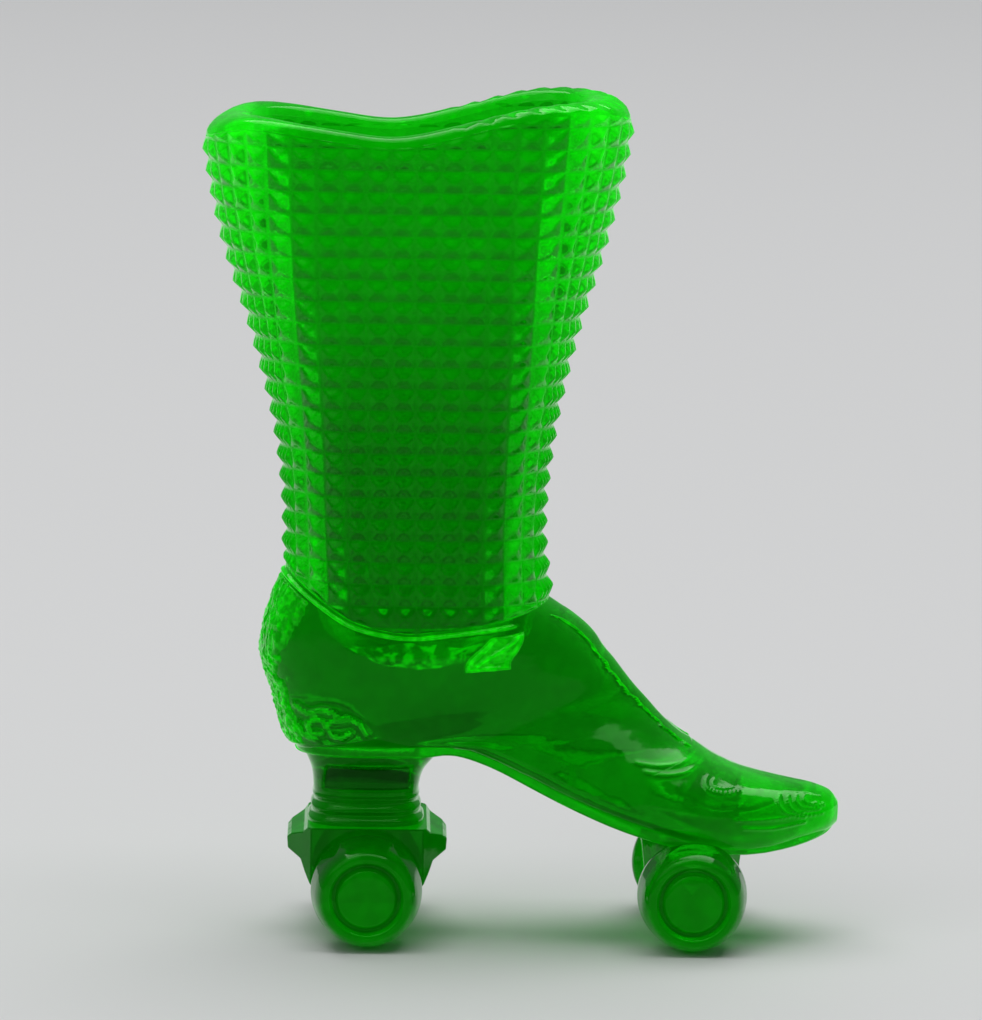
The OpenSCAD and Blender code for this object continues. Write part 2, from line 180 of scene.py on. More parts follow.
# %% The glow group
painted_glow_group = bpy.data.node_groups.new("painted_uranium_glow", "ShaderNodeTree")
for socket_name in ("Level", "Edge Gain", "Side Gain", "Toe Gain", "Facet Gain", "Speckle",
                    "Grain Size"):
    painted_glow_group.interface.new_socket(socket_name, in_out="INPUT", socket_type="NodeSocketFloat")
for socket_name, kind in (("Colour", "NodeSocketColor"), ("Ripple", "NodeSocketFloat"),
                          ("Roughness", "NodeSocketFloat")):
    painted_glow_group.interface.new_socket(socket_name, in_out="OUTPUT", socket_type=kind)
knobs = painted_glow_group.nodes.new("NodeGroupInput").outputs
group_out = painted_glow_group.nodes.new("NodeGroupOutput")
coords = painted_glow_group.nodes.new("ShaderNodeTexCoord")
axes = painted_glow_group.nodes.new("ShaderNodeSeparateXYZ")
painted_glow_group.links.new(coords.outputs["Object"], axes.inputs[0])
facing = painted_glow_group.nodes.new("ShaderNodeSeparateXYZ")
painted_glow_group.links.new(coords.outputs["Normal"], facing.inputs[0])


def add(a, b):
    return math_node(painted_glow_group, "ADD", a, b)


def times(a, b):
    return math_node(painted_glow_group, "MULTIPLY", a, b)


# Painted light: the glow is brighter towards the lip, where the violet lamp shone
by_height = smooth_step(painted_glow_group, axes.outputs["Z"], 0.052, 0.096)
body_glow = times(knobs["Level"], add(1.0, times(by_height, 2.0)))
# Painted light: the leg's front and back, beyond the ends of the bore, are solid and are painted
# with more glow
bore_end = smooth_step(painted_glow_group, axes.outputs["Z"], 0.046, 0.098, 0.0115, 0.0200)
from_axis = math_node(painted_glow_group, "ABSOLUTE", add(axes.outputs["X"], 0.0133))
past_bore = math_node(painted_glow_group, "DIVIDE", from_axis, bore_end)
edge_mask = smooth_step(painted_glow_group, past_bore, 0.95, 1.05)
edge_glow = times(times(edge_mask, knobs["Edge Gain"]), add(1.0, times(by_height, 1.3)))
# Painted light: surfaces that turn away from the flat sides catch more of the light inside, so
# they are painted with more glow
turned = math_node(painted_glow_group, "SUBTRACT", 1.0,
                   math_node(painted_glow_group, "ABSOLUTE", facing.outputs["Y"]))
side_glow = times(math_node(painted_glow_group, "POWER", turned, 1.6), knobs["Side Gain"])
# Painted light: the tip of the toe gathers the light of the whole shoe, so it is painted brighter
toe_glow = times(smooth_step(painted_glow_group, axes.outputs["X"], 0.016, 0.040), knobs["Toe Gain"])

clouds = add_node(painted_glow_group, "ShaderNodeTexNoise", Scale=160.0, Detail=3.0)
painted_glow_group.links.new(coords.outputs["Object"], clouds.inputs["Vector"])
cloud_gain = smooth_step(painted_glow_group, clouds.outputs["Fac"], 0.3, 0.7, 0.88, 1.12)
ripple = add_node(painted_glow_group, "ShaderNodeTexNoise", Detail=2.0)
painted_glow_group.links.new(coords.outputs["Object"], ripple.inputs["Vector"])
painted_glow_group.links.new(knobs["Grain Size"], ripple.inputs["Scale"])
speck = smooth_step(painted_glow_group, ripple.outputs["Fac"], 0.42, 0.66, -0.5, 1.3)
speck_gain = add(1.0, times(speck, knobs["Speckle"]))
total = add(add(body_glow, edge_glow), add(side_glow, toe_glow))
# Painted shade: facets that face down get less glow than those that face up
facet_shade = add(1.0, times(facing.outputs["Z"], knobs["Facet Gain"]))
total = times(times(total, facet_shade), times(cloud_gain, speck_gain))
tint = painted_glow_group.nodes.new("ShaderNodeValToRGB")
tint.color_ramp.elements[0].color = (0, 0, 0, 1)
tint.color_ramp.elements[1].color = (0.03, 1.0, 0.01, 1)
for place, colour in ((0.2, (0.001, 0.2, 0.0004, 1)), (0.5, (0.006, 0.5, 0.002, 1))):
    tint.color_ramp.elements.new(place).color = colour
painted_glow_group.links.new(total, tint.inputs["Fac"])
painted_glow_group.links.new(tint.outputs["Color"], group_out.inputs["Colour"])
painted_glow_group.links.new(ripple.outputs["Fac"], group_out.inputs["Ripple"])
painted_glow_group.links.new(smooth_step(painted_glow_group, clouds.outputs["Fac"], 0.3, 0.7, 0.05, 0.13),
                     group_out.inputs["Roughness"])


# %% One glass material for each finish
def glass_finish(name, tint_green, bump, **knob_values):
    """Green glass; tint_green is how much green light each wall lets through."""
    finish = bpy.data.materials.new(name)
    finish.use_nodes = True
    tree = finish.node_tree
    shader = tree.nodes["Principled BSDF"]
    shader.inputs["Base Color"].default_value = (tint_green * 0.01, tint_green,
                                                 tint_green * 0.01, 1)
    shader.inputs["Transmission Weight"].default_value = 0.96
    shader.inputs["IOR"].default_value = 1.5
    shader.inputs["Specular Tint"].default_value = (0.12, 0.4, 0.12, 1)
    shader.inputs["Emission Strength"].default_value = 1.0
    glow = tree.nodes.new("ShaderNodeGroup")
    glow.node_tree = painted_glow_group
    for knob, value in knob_values.items():
        glow.inputs[knob.replace("_", " ")].default_value = value
    tree.links.new(glow.outputs["Colour"], shader.inputs["Emission Color"])
    tree.links.new(glow.outputs["Roughness"], shader.inputs["Roughness"])
    relief = tree.nodes.new("ShaderNodeBump")
    relief.inputs["Strength"].default_value = bump
    relief.inputs["Distance"].default_value = 0.0001
    tree.links.new(glow.outputs["Ripple"], relief.inputs["Height"])
    tree.links.new(relief.outputs["Normal"], shader.inputs["Normal"])
    return finish


# The Level and gains of each finish set its painted glow, which is painted light.
lip_glass = glass_finish("lip_glass", 0.36, 0.25, Level=0.055, Edge_Gain=0.07, Speckle=0.1,
                         Grain_Size=700)
point_glass = glass_finish("point_glass", 0.34, 0.3, Level=0.034, Edge_Gain=0.085,
                           Facet_Gain=1.0, Speckle=0.15, Grain_Size=900)
shoe_glass = glass_finish("shoe_glass", 0.1, 0.35, Level=0.052, Side_Gain=0.16, Toe_Gain=0.15,
                          Speckle=0.12, Grain_Size=500)
# The trim's finish glows strongly: a painted highlight on the raised trim and beads.
trim_glass = glass_finish("trim_glass", 0.3, 0.5, Level=0.24, Side_Gain=0.14, Speckle=0.3,
                          Grain_Size=900)
# The heel's grained finish also glows brighter: painted light as well as grain.
grained_glass = glass_finish("grained_glass", 0.2, 0.6, Level=0.17, Side_Gain=0.14,
                             Speckle=0.4, Grain_Size=1300)
sole_glass = glass_finish("sole_glass", 0.2, 0.3, Level=0.1, Side_Gain=0.12, Speckle=0.15,
                          Grain_Size=600)
# The cavity floor's finish has the strongest glow: painted light.
well_glass = glass_finish("well_glass", 0.3, 0.8, Level=0.42, Speckle=1.4, Grain_Size=700)
skate_glass = glass_finish("skate_glass", 0.08, 0.3, Level=0.045, Side_Gain=0.07, Speckle=0.1,
                           Grain_Size=500)
# The finish of the sunk windows is darker, with little glow: painted shade.
window_shade_glass = glass_finish("window_shade_glass", 0.04, 0.3, Level=0.014, Speckle=0.3,
                            Grain_Size=500)
# On the wheels a negative Side Gain gives the tread less painted glow than the faces.
wheel_glass = glass_finish("wheel_glass", 0.07, 0.25, Level=0.11, Side_Gain=-0.09,
                           Speckle=0.08, Grain_Size=500)

# %% [markdown]
# ## Where two regions join there is no surface
# The boot is one pressing, but it is built from regions so that each can be changed alone.
# Each region is a closed mesh, and where it runs into its neighbour its faces must not show.
# Those faces get a second material that is fully see-through.

# %% The joint material
hidden_joint = bpy.data.materials.new("hidden_joint")
hidden_joint.use_nodes = True
joint_shader = hidden_joint.node_tree.nodes["Principled BSDF"]
joint_shader.inputs["Alpha"].default_value = 0.0
joint_shader.inputs["Base Color"].default_value = (0.02, 0.62, 0.02, 1)

# The places of a piece's materials
FINISH, JOINT, SECOND, WELL = range(4)
built = {}


def box_of(places):
    """The lowest and the highest corner of the box round some places."""
    return (Vector(map(pick, zip(*places))) for pick in (min, max))


def finish_piece(name, bm, finish, nodes, smooth=True, second_finish=None):
    """Scales a piece from millimetres, gives it its glass and puts it on the frame."""
    bmesh.ops.scale(bm, vec=(MM, MM, MM), verts=bm.verts)
    for edge in bm.edges:  # a joint face doesn't bend the shading of its neighbours
        if len({face.material_index == JOINT for face in edge.link_faces}) == 2:
            edge.smooth = False
    mesh = bpy.data.meshes.new(name)
    bm.to_mesh(mesh)
    bm.free()
    piece = bpy.data.objects.new(name, mesh)
    scene.collection.objects.link(piece)
    mesh.materials.append(finish)
    mesh.materials.append(hidden_joint)
    if second_finish:
        mesh.materials.append(second_finish)
    mesh.shade_smooth() if smooth else mesh.shade_flat()
    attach(piece, "root")
    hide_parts(*nodes)
    built[name] = piece
    low, high = box_of([v.co for v in mesh.vertices])
    print(f"{name}: {len(mesh.polygons)} faces, {[round(v / MM, 1) for v in high - low]} mm")
    return piece


# %% [markdown]
# ## Curves that the glass follows
# The mould maker drew the boot with a few sections and curved lines. The same stations are
# used here, joined with a Catmull-Rom curve, which runs through every station it is given.

# %% Curve helpers
def through(stations, t):
    """The point at t on a smooth curve; whole numbers of t are the stations."""
    last = len(stations) - 1
    i = math.floor(min(t, last - 0.0001))
    f = t - i
    p, q, r, s = (stations[max(0, min(last, i + n))] for n in (-1, 0, 1, 2))
    return [b + f / 2 * ((c - a) + f * ((2 * a - 5 * b + 4 * c - d)
                                        + f * (3 * b - 3 * c + d - a)))
            for a, b, c, d in zip(p, q, r, s)]


def line_of(stations, steps):
    """A curve through stations, as two columns that np.interp can read."""
    count = (len(stations) - 1) * steps
    return np.array([through(stations, n / steps) for n in range(count + 1)]).T


def mix(a, b, share):
    """The value a share of the way from a to b."""
    return a + (b - a) * share


def ramp(value, low, high):
    """0 below low and 1 above high, with a smooth change between them."""
    t = max(0.0, min(1.0, (value - low) / (high - low)))
    return t * t * (3 - 2 * t)


# %% The leg's oval sections and its two edge lines
LEG_BASE, LEG_STEP, LEG_BACK = 38, 12, 13.2
leg_outside = [(16.6, 9.4, 0.5), (15.5, 9.2, 0.1), (16.6, 9.5, 0), (19.4, 10.2, -0.25),
               (23.1, 11.2, -0.45), (25.6, 12.1, -0.3), (26.4, 12.5, -0.2)]
leg_bore = [(10.9, 5.6, 0.5), (11.5, 5.9, 0.1), (12.7, 6.4, 0), (15, 7.1, -0.25),
            (17.6, 8.0, -0.45), (20, 8.9, -0.3), (21.4, 9.6, -0.2)]
rim_drop = line_of([(-41, 5.6), (-38, 3.4), (-33, 2.2), (-24, 3.36), (-17.5, 4.2),
                    (-13, 3.78), (-8, 2.52), (0, 0.5), (6.5, 0), (11, 0.5), (13, 2.2),
                    (14.6, 4.6)], 4)
collar_curve = line_of([(-31, 47.2), (-28.6, 45.2), (-24.5, 42.2), (-20, 39.6), (-14.2, 38.4),
                        (-9.3, 38.9), (-2, 40.0), (3.4, 41.6), (6, 42.6)], 4)
RIM_TOP, LIP_HEIGHT, ROWS, COLUMNS, ROW_HEIGHT, ROW_BASE = 103.3, 1.3, 25, 44, 2.67, 36.4
EVEN_COLUMNS, QUARTER = 6, 11


def section(stations, z):
    return through(stations, (z - LEG_BASE) / LEG_STEP)


def pattern_top(x):
    return RIM_TOP - LIP_HEIGHT - float(np.interp(x, *rim_drop))


def collar_height(x):
    return float(np.interp(x, *collar_curve))


def oval_point(column, size, size_of_pattern, z):
    """Place on an oval section; columns count round from the middle of the -Y side."""
    around = column % (2 * QUARTER)
    m = around if around <= QUARTER else 2 * QUARTER - around
    column %= COLUMNS
    quarter = size_of_pattern[0] - size_of_pattern[1] + size_of_pattern[1] * math.pi / 2
    pitch = 2.74 + 0.006 * (z - 50)
    s = m * pitch
    if m > EVEN_COLUMNS:
        s = mix(EVEN_COLUMNS * pitch, quarter, (m - EVEN_COLUMNS) / (QUARTER - EVEN_COLUMNS))
    a, b, shift = size
    s *= (a - b + b * math.pi / 2) / quarter
    angle = max(0.0, (s - (a - b)) / b)
    x = min(s, a - b) + b * math.sin(angle)
    y = b * math.cos(angle)
    x_side = 1 if column <= 2 * QUARTER else -1
    y_side = -1 if column <= QUARTER or column >= 3 * QUARTER else 1
    return x_side * x + shift - LEG_BACK, y_side * y


def outside_at(column, z):
    return oval_point(column, section(leg_outside, z), section(leg_outside, z), z)


def bore_at(column, z):
    return oval_point(column, section(leg_bore, z), section(leg_outside, z), z)


def wall_corner(row, column):
    """A corner of the diamond pattern, kept between the collar and the lip."""
    level = ROW_BASE + row * ROW_HEIGHT

    def kept(x):
        return max(min(level, pattern_top(x) - (ROWS - row) * 0.12),
                   collar_height(x) + row * 0.12)

    x, y = outside_at(column, kept(outside_at(column, level)[0]))
    return Vector((x, y, kept(x)))


def bore_corner(share, column):
    """A point on the bore, from the collar at share 0 to the lip at share 1."""
    x = bore_at(column, 70)[0]
    x, y = bore_at(column, mix(collar_height(x), pattern_top(x), share))
    return Vector((x, y, mix(collar_height(x), pattern_top(x), share)))


print("the oval half way up:", [round(v, 1) for v in section(leg_outside, 70)], "mm")

# %% [markdown]
# ## A sheet rolled into a tube
# Most regions of the boot are a sheet wrapped round an oval. A grid gives the sheet clean
# four-sided faces. Each of its corners is then moved to its place, and the two edges that
# meet at the seam are merged. One helper does this for the leg, the lip and the shoe.

# %% The rolled sheet
def rolled_sheet(rings, columns, place):
    """A bmesh tube with a face layer that remembers each face's ring."""
    bm = bmesh.new()
    bmesh.ops.create_grid(bm, x_segments=columns, y_segments=rings - 1, size=1)
    bm.verts.ensure_lookup_table()
    for number, corner in enumerate(bm.verts):
        corner.co = place(number // (columns + 1), number % (columns + 1))
    ring_of = bm.faces.layers.int.new("ring")
    for number, face in enumerate(bm.faces):
        face[ring_of] = number // columns
    bmesh.ops.remove_doubles(bm, verts=bm.verts, dist=0.0001)
    bmesh.ops.dissolve_degenerate(bm, edges=bm.edges, dist=0.0001)
    return bm, ring_of


def close_ends(bm):
    """Fills a tube's open ends, which are joint faces, and turns every face outwards."""
    ends = bmesh.ops.holes_fill(bm, edges=bm.edges)["faces"]
    for end in ends:
        end.material_index = JOINT
    bmesh.ops.recalc_face_normals(bm, faces=bm.faces)


# %% [markdown]
# ## The leg with its diamond points
# The leg is a hollow wall cut all over with small pyramids, 25 rows of 44. The outside is a
# tube of square cells, and the poke operator raises a point in the middle of each, as the
# mould did. The inside is the smooth bore that the plunger left. A subdivision with creased
# edges then rounds every ridge a little, because pressed glass is never knife sharp.

# %% Leg
BORE_RINGS = 12
POINT_HEIGHT = 0.82
RIDGE_ANGLE, RIDGE_CREASE = math.radians(20), 0.85


def leg_place(ring, column):
    if ring <= ROWS:
        return wall_corner(ring, column)
    if ring <= ROWS + BORE_RINGS + 1:
        return bore_corner(1 - (ring - ROWS - 1) / BORE_RINGS, column)
    return wall_corner(0, column)


leg_mesh, ring_layer = rolled_sheet(ROWS + BORE_RINGS + 3, COLUMNS, leg_place)
bmesh.ops.recalc_face_normals(leg_mesh, faces=leg_mesh.faces)
cells_by_height = {}
for face in leg_mesh.faces:
    if face[ring_layer] < ROWS:
        heights = [v.co.z for v in face.verts]
        tall = (heights[2] + heights[3] - heights[0] - heights[1]) / 2
        share = round(min(1.0, abs(tall) / ROW_HEIGHT + 0.1), 1)
        cells_by_height.setdefault(share, []).append(face)
for share, cells in cells_by_height.items():
    bmesh.ops.poke(leg_mesh, faces=cells, offset=POINT_HEIGHT * share)
for face in leg_mesh.faces:
    if face[ring_layer] in (ROWS, ROWS + BORE_RINGS + 1):
        face.material_index = JOINT
crease = leg_mesh.edges.layers.float.new("crease_edge")
for edge in leg_mesh.edges:
    if any(face.material_index == JOINT for face in edge.link_faces):
        edge[crease] = 1.0
    elif edge.calc_face_angle() > RIDGE_ANGLE:
        edge[crease] = RIDGE_CREASE
print("cells with their full height:", len(cells_by_height[1.0]))
leg = finish_piece("leg", leg_mesh, point_glass, ["leg"])


def round_off(piece, levels):
    """A live subdivision, the same in the view and in the render."""
    rounding = piece.modifiers.new("rounding", "SUBSURF")
    rounding.levels = rounding.render_levels = levels


round_off(leg, 2)

# %% [markdown]
# ## The lip
# The rim was melted smooth in a flame after pressing. It is an arch from the outside of the
# wall to the bore. On the front half the top row of points still shows through it as a soft
# scallop, so the outer side of the arch rises and falls once for each column.

# %% Lip
LIP_COLUMNS = 4 * COLUMNS
lip_turns = [0, 15, 32, 50, 68, 90, 112, 135, 158, 180]
SINK = 0.5


def lip_place(ring, column):
    column /= 4
    outer, inner = wall_corner(ROWS, column), bore_corner(1, column)
    turn = math.radians(lip_turns[ring % len(lip_turns)])
    if ring >= len(lip_turns):  # the underside, sunk into the leg
        share = (ring - len(lip_turns) + 1) / 3
        edge = inner.lerp(outer, 0.04 + 0.92 * share) if share < 1 else outer
        return edge - Vector((0, 0, SINK)) if share < 1 else edge
    spot = (outer + inner) / 2 + (outer - inner) / 2 * math.cos(turn)
    if ring in (0, len(lip_turns) - 1):
        return spot
    rise = LIP_HEIGHT * math.sin(turn) ** 0.7
    scallop = 0.5 + 0.5 * math.cos(2 * math.pi * (column - 0.5))
    front = ramp(spot.x, -11, -6) * max(0.0, math.cos(turn - math.radians(62))) ** 4
    spot.z = pattern_top(spot.x) + rise - 0.5 * front * (1 - scallop)
    return spot


lip_mesh, ring_layer = rolled_sheet(len(lip_turns) + 3, LIP_COLUMNS, lip_place)
bmesh.ops.recalc_face_normals(lip_mesh, faces=lip_mesh.faces)
for face in lip_mesh.faces:
    if face[ring_layer] >= len(lip_turns) - 1:
        face.material_index = JOINT
finish_piece("rim_lip", lip_mesh, lip_glass, ["rim_lip"])

# %% [markdown]
# ## The shoe's sections
# The shoe turns from the upright ankle to the flat toe, so its sections fan round like the
# ribs of a fan. Each section is given by its low end, its high end, its half width, where it
# is widest and how square it is below and above.

# %% Shoe surface
under_curve = line_of([(-31, 22.7), (-20, 22.7), (-12, 22.7), (-8, 23.0), (-3.5, 21.6),
                       (1.5, 19.2), (7, 16.7), (13, 14.4), (20, 12.4), (28, 11.2),
                       (34, 11.8), (38, 13.0), (41, 14.6)], 3)
SOLE_THICK = 1.8
# A low end of 0 means that the section starts in the sole, wherever that is at that x
shoe_stations = [
    (-31.3, 40.2, 8.0, 40.4, 10.6, 0.5, 2.3, 2.1),  # only steers the curve; nothing is built here
    (-31.6, 34.8, 9.6, 36.5, 10.5, 0.48, 2.4, 2.1),
    (-30.1, 29.6, 11.7, 33.8, 10.2, 0.45, 2.6, 2.1),
    (-27.3, 0, 13.7, 31.2, 9.4, 0.42, 4.0, 2.1), (-19, 0, 15.6, 29.1, 8.9, 0.40, 4.5, 2.1),
    (-9, 0, 17.7, 26.8, 9.2, 0.40, 5.0, 2.1), (-1, 0, 19.9, 24.9, 10.2, 0.38, 5.0, 2.1),
    (6, 0, 22.0, 23.6, 11.3, 0.36, 5.0, 2.1), (13, 0, 24.4, 22.0, 11.9, 0.34, 5.0, 2.1),
    (19.5, 0, 27.4, 20.6, 11.3, 0.34, 5.0, 2.2), (25.5, 0, 30.4, 19.8, 9.6, 0.36, 4.5, 2.3),
    (30.5, 0, 33.4, 19.2, 7.5, 0.40, 4.0, 2.4), (34.6, 0, 36.2, 18.7, 5.4, 0.45, 3.0, 2.4),
    (37.9, 0, 38.4, 17.9, 3.6, 0.5, 2.4, 2.3), (39.3, 14.0, 39.4, 16.7, 1.8, 0.5, 2, 2)]


def under_height(x):
    return float(np.interp(x, *under_curve))


def seat_height(x):
    return under_height(x) + SOLE_THICK


def sunk(x):
    """How far the shoe's low ends run down into the sole: through all of it at the toe."""
    return mix(1.0, 1.75, ramp(x, 12, 27))


shoe_stations = [(s[0], s[1] or seat_height(s[0]) - sunk(s[0]), *s[2:]) for s in shoe_stations]


def rib_corner(s, column, proud=0.0):
    low_x, low_z, high_x, high_z, half, widest, low_n, high_n = through(shoe_stations, s)
    low = Vector((low_x, max(low_z, seat_height(low_x) - sunk(low_x))))
    high = Vector((high_x, high_z))
    along = (high - low).normalized()
    a, b, shift = section(leg_outside, 50)
    v = (outside_at(column, 50)[0] + LEG_BACK - shift) / (2 * a) + 0.5
    spot = (low - along * proud).lerp(high + along * proud, v)
    u, n = ((widest - v) / widest, low_n) if v < widest else ((v - widest) / (1 - widest), high_n)
    out = max(0.0, 1 - u ** n) ** (1 / n) * (half + proud)
    side = -1 if column % COLUMNS <= QUARTER or column % COLUMNS >= 3 * QUARTER else 1
    return Vector((spot.x, side * out, spot.y))


def shoe_corner(s, column, proud=0.0):
    """s is 0 at the collar, 0.5 at its lower edge, 1 at the first section and so on."""
    below = rib_corner(max(1.0, s), column, proud)
    if s >= 1:
        return below
    top = wall_corner(0, column)
    top.z = collar_height(top.x)
    if proud:
        away = Vector((top.x + LEG_BACK, top.y * 2.5, 0)).normalized()
        top += away * proud
    edge = top.z - min(1.5, (top.z - below.z) / 2)
    z = mix(top.z, edge, 2 * s) if s < 0.5 else mix(edge, below.z, 2 * s - 1)
    down = (top.z - z) / (top.z - below.z)
    bulge = mix(1.0, 0.5, ramp(top.x, -24, -8))
    share = mix(down, math.sin(math.pi / 2 * down), bulge)
    return Vector((mix(top.x, below.x, share), mix(top.y, below.y, share), z))


print("widest shoe section:", max(s[4] for s in shoe_stations) * 2, "mm")

# %% [markdown]
# ## Relief lines
# The toe carries nested crescents and a long scroll, two fine lines cross the forefoot, and
# the heel seat has small curls. They are shallow ridges of the mould. Each is drawn as a
# short curve seen from the side, and the shoe's surface is pushed out near it with a soft
# bell-shaped profile, on both sides alike.

# %% Strokes
def arc(centre, radius, squash, start, end, points=7):
    """Points on part of an ellipse in the side view, angles in degrees from +X."""
    angles = np.radians(np.linspace(start, end, points))
    return [(centre[0] + radius * math.cos(a), centre[1] + radius * squash * math.sin(a))
            for a in angles]


front_strokes = [arc((36.1, 17.75), r, 0.62, 70, 290) for r in (1.2, 2.2, 3.2)]
front_strokes += [arc((36.1, 17.75), 4.4, 0.5, 105, 255),
                  [(28.5, 20.0), (31.5, 19.4), (34.5, 18.8), (37.2, 17.9)],
                  [(26.5, 16.0), (29.5, 15.8), (33, 15.9), (37.4, 16.9)],
                  [(27.5, 14.9), (31.0, 14.6), (35.0, 15.0)],
                  arc((25.6, 20.4), 2.9, 0.42, 60, 330), arc((25.2, 20.3), 1.6, 0.42, 90, 360),
                  [(25.5, 21.9), (28, 21.3), (30.5, 20.5)],
                  [(14.2, 22.9), (17, 22.5), (19.8, 22.7), (22.4, 23.7)],
                  [(15.4, 21.9), (18, 21.5), (20.8, 21.8), (23.2, 22.9)]]
heel_strokes = [[(-27.3, 29.0), (-25.6, 28.2), (-23.9, 28.7), (-22.4, 28.3)],
                arc((-24.6, 26.6), 1.1, 0.8, 0, 300), arc((-21.9, 26.6), 1.4, 0.8, 60, 330),
                [(-21.2, 28.0), (-19.6, 27.3), (-18.6, 26.0)],
                [(-26.9, 26.6), (-26.2, 25.6), (-24.8, 25.1)]]


def ridge_points(strokes, step=24):
    """Dense samples along every stroke, as an array of side-view places."""
    rows = [through(stroke, n * (len(stroke) - 1) / step)
            for stroke in strokes for n in range(step + 1)]
    return np.array(rows)


def gaps_to(ridge, places):
    """How far each place, seen from the side, is from the nearest ridge sample."""
    flat = np.array([(place.x, place.z) for place in places])
    gaps = np.full(len(flat), 1e9)
    for start in range(0, len(ridge), 16):
        block = ridge[start:start + 16]
        apart = np.hypot(flat[:, None, 0] - block[None, :, 0],
                         flat[:, None, 1] - block[None, :, 1])
        gaps = np.minimum(gaps, apart.min(axis=1))
    return gaps


def raise_ridges(bm, strokes, height, width):
    """Pushes the surface out along the strokes, where it faces a side; returns how much of it.

    The crest of each ridge gets the piece's second finish, whose stronger glow is a painted
    highlight.
    """
    ridge = ridge_points(strokes)
    bm.normal_update()
    faces = [face for face in bm.faces
             if abs(face.normal.y) > 0.3 and face.material_index != JOINT]
    gaps = gaps_to(ridge, [face.calc_center_median() for face in faces])
    near = {edge for face, gap in zip(faces, gaps) if gap < 2 * width + 0.5
            for edge in face.edges}
    bmesh.ops.subdivide_edges(bm, edges=list(near), cuts=2, use_grid_fill=True)
    bm.normal_update()
    bm.verts.index_update()
    gaps = gaps_to(ridge, [corner.co for corner in bm.verts])
    for face in bm.faces:
        if face.material_index == FINISH and all(gaps[v.index] < width for v in face.verts):
            face.material_index = SECOND
    for corner, gap in zip(bm.verts, gaps):
        if gap < 3 * width:
            facing = ramp(abs(corner.normal.y), 0.35, 0.7)
            corner.co += corner.normal * height * facing * math.exp(-(gap / width) ** 2)
    return int((gaps < width).sum())


# %% [markdown]
# ## Quarter, vamp and toe cap
# The quarter wraps the ankle and the heel and holds the closed lower end of the cavity. Its
# sheet runs up the outside, over the collar line and down inside to a single middle corner.
# The vamp and the toe cap are the same sheet further forward. A grid fine enough to carry the
# relief is used, about 0.4 mm a cell.

# %% Quarter
SHOE_COLUMNS = 4 * COLUMNS
quarter_rings = [4 - n * 0.125 for n in range(25)] + [0.9, 0.8, 0.7, 0.6, 0.5, 0.35, 0.2, 0]
well_rings = [(2.4, 0.94), (1.5, 0.86), (0.7, 0.76), (-0.1, 0.64), (-0.8, 0.5), (-1.3, 0.35),
              (-1.6, 0.18), (-1.7, 0)]
CAVITY_FLOOR = 35  # where the rounded end of the cavity begins


def well_place(drop, share, column):
    x, y = bore_at(column, LEG_BASE)
    floor_wave = 0.5 * noise.noise(Vector((x * share, y * share, drop)) * 0.45)
    return Vector(((x + LEG_BACK) * share - LEG_BACK, y * share,
                   CAVITY_FLOOR + drop + floor_wave * ramp(0.95 - share, 0, 0.3)))


def quarter_place(ring, column):
    column /= 4
    if ring < len(quarter_rings):
        return shoe_corner(quarter_rings[ring], column)
    if ring == len(quarter_rings):
        return bore_corner(0, column)
    return well_place(*well_rings[ring - len(quarter_rings) - 1], column)


quarter_mesh, ring_layer = rolled_sheet(len(quarter_rings) + 1 + len(well_rings),
                                        SHOE_COLUMNS, quarter_place)
for face in quarter_mesh.faces:
    if face[ring_layer] == len(quarter_rings) - 1:  # the top edge, under the leg
        face.material_index = JOINT
close_ends(quarter_mesh)
print("corners on the heel curls:", raise_ridges(quarter_mesh, heel_strokes, 0.3, 0.45))
quarter = finish_piece("quarter", quarter_mesh, shoe_glass, ["quarter"],
                       second_finish=grained_glass)
quarter.data.materials.append(well_glass)
# Painted light: the faces of the cavity's floor get the well finish, which glows far brighter.
WELL_TOP, WELL_HALF_LENGTH, WELL_HALF_WIDTH = CAVITY_FLOOR + 0.9, 9.5, 5.6
for polygon in quarter.data.polygons:
    spot = polygon.center / MM
    if abs(spot.y) < WELL_HALF_WIDTH and spot.z < WELL_TOP and polygon.normal.z > 0.5 \
            and abs(spot.x + LEG_BACK) < WELL_HALF_LENGTH:
        polygon.material_index = WELL
print("faces on the cavity's floor:",
      sum(polygon.material_index == WELL for polygon in quarter.data.polygons))


# %% Vamp and toe cap
SHOE_STEP, FRONT_RIDGE, FRONT_WIDTH = 0.1, 0.18, 0.26


def shoe_length(name, first, last):
    """A closed length of the shoe between two positions, with its relief."""
    count = round((last - first) / SHOE_STEP)
    bm, _ = rolled_sheet(count + 1, SHOE_COLUMNS, lambda ring, column: shoe_corner(
        first + ring * (last - first) / count, column / 4))
    close_ends(bm)
    if last == len(shoe_stations) - 1:  # the end of the toe is open to view
        tip = max((face for face in bm.faces if len(face.verts) > 4),
                  key=lambda face: face.calc_center_median().x)
        tip.material_index = FINISH
    print(name, "corners on its relief:",
          raise_ridges(bm, front_strokes, FRONT_RIDGE, FRONT_WIDTH))
    finish_piece(name, bm, shoe_glass, [name], second_finish=sole_glass)


shoe_length("vamp", 4, 7)
shoe_length("toe_cap", 7, len(shoe_stations) - 1)

# %% [markdown]
# ## Raised trim
# The collar line, its two front tabs, the strip down the instep and the stiffener on the heel
# stand half a millimetre out. Each is a patch of the same sheet, lifted with a soft edge. Its
# back is made with the solidify operator and lies inside the shoe. The collar, the tabs, the
# stiffener and the strip's beads glow brighter than the shoe: painted light.

# %% Trim patches
TRIM_RISE, TRIM_SUNK, TRIM_THICK = 0.45, 0.25, 0.3
SHOE_MIDDLE = Vector((-8, 0, 30))


